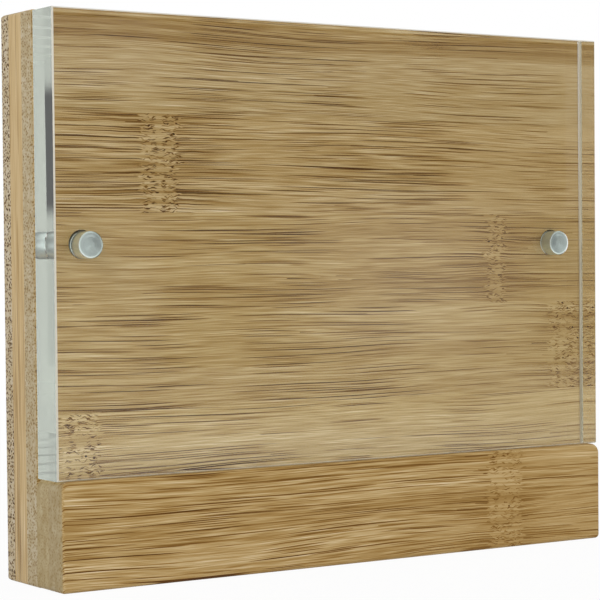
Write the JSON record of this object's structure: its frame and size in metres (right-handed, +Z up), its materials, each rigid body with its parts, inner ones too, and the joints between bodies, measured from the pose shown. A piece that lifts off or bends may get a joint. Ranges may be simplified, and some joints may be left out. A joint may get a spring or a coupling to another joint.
{
  "type": "magnetic photo display frame",
  "caption": "Bamboo plywood back board with a glued base bar that carries a thick clear acrylic panel, held on by embedded magnets, for clamping a landscape photo print.",
  "frame": {"origin": "middle of the footprint, on the surface that the frame stands on", "axes": "+X along the front to the viewer's right, -Y towards the viewer, +Z up"},
  "size_m": [0.1524, 0.0266, 0.126],
  "materials": {
    "bamboo_face": "satin oiled, long grain across the front",
    "bamboo_core": "satin oiled, upright grain",
    "bamboo_back": "satin oiled, long grain across the back",
    "bamboo_bar": "satin oiled, streaky long grain",
    "clear_acrylic": "polished faces, finely sawn edges",
    "magnet_plating": "bright nickel plating"
  },
  "bodies": {
    "frame": {"front_ply_strip_1": "bamboo_face", "front_ply_strip_2": "bamboo_face", "front_ply_strip_3": "bamboo_face", "front_ply_strip_4": "bamboo_face", "front_ply_strip_5": "bamboo_face", "front_ply_strip_6": "bamboo_face", "core_ply_strip_1": "bamboo_core", "core_ply_strip_2": "bamboo_core", "core_ply_strip_3": "bamboo_core", "core_ply_strip_4": "bamboo_core", "core_ply_strip_5": "bamboo_core", "core_ply_strip_6": "bamboo_core", "core_ply_strip_7": "bamboo_core", "back_ply_strip_1": "bamboo_back", "back_ply_strip_2": "bamboo_back", "back_ply_strip_3": "bamboo_back", "back_ply_strip_4": "bamboo_back", "back_ply_strip_5": "bamboo_back", "back_ply_strip_6": "bamboo_back", "base_bar_inner_ply": "bamboo_bar", "base_bar_outer_ply": "bamboo_bar", "board_magnet_left": "magnet_plating", "board_magnet_right": "magnet_plating"},
    "panel": {"clear_panel": "clear_acrylic", "panel_magnet_left": "magnet_plating", "panel_magnet_right": "magnet_plating"}
  },
  "joints": [
    {"name": "panel_pull_off", "type": "slide", "parent": "frame", "child": "panel", "axis": [0, -1, 0], "range_m": [0, 0.04]}
  ]
}
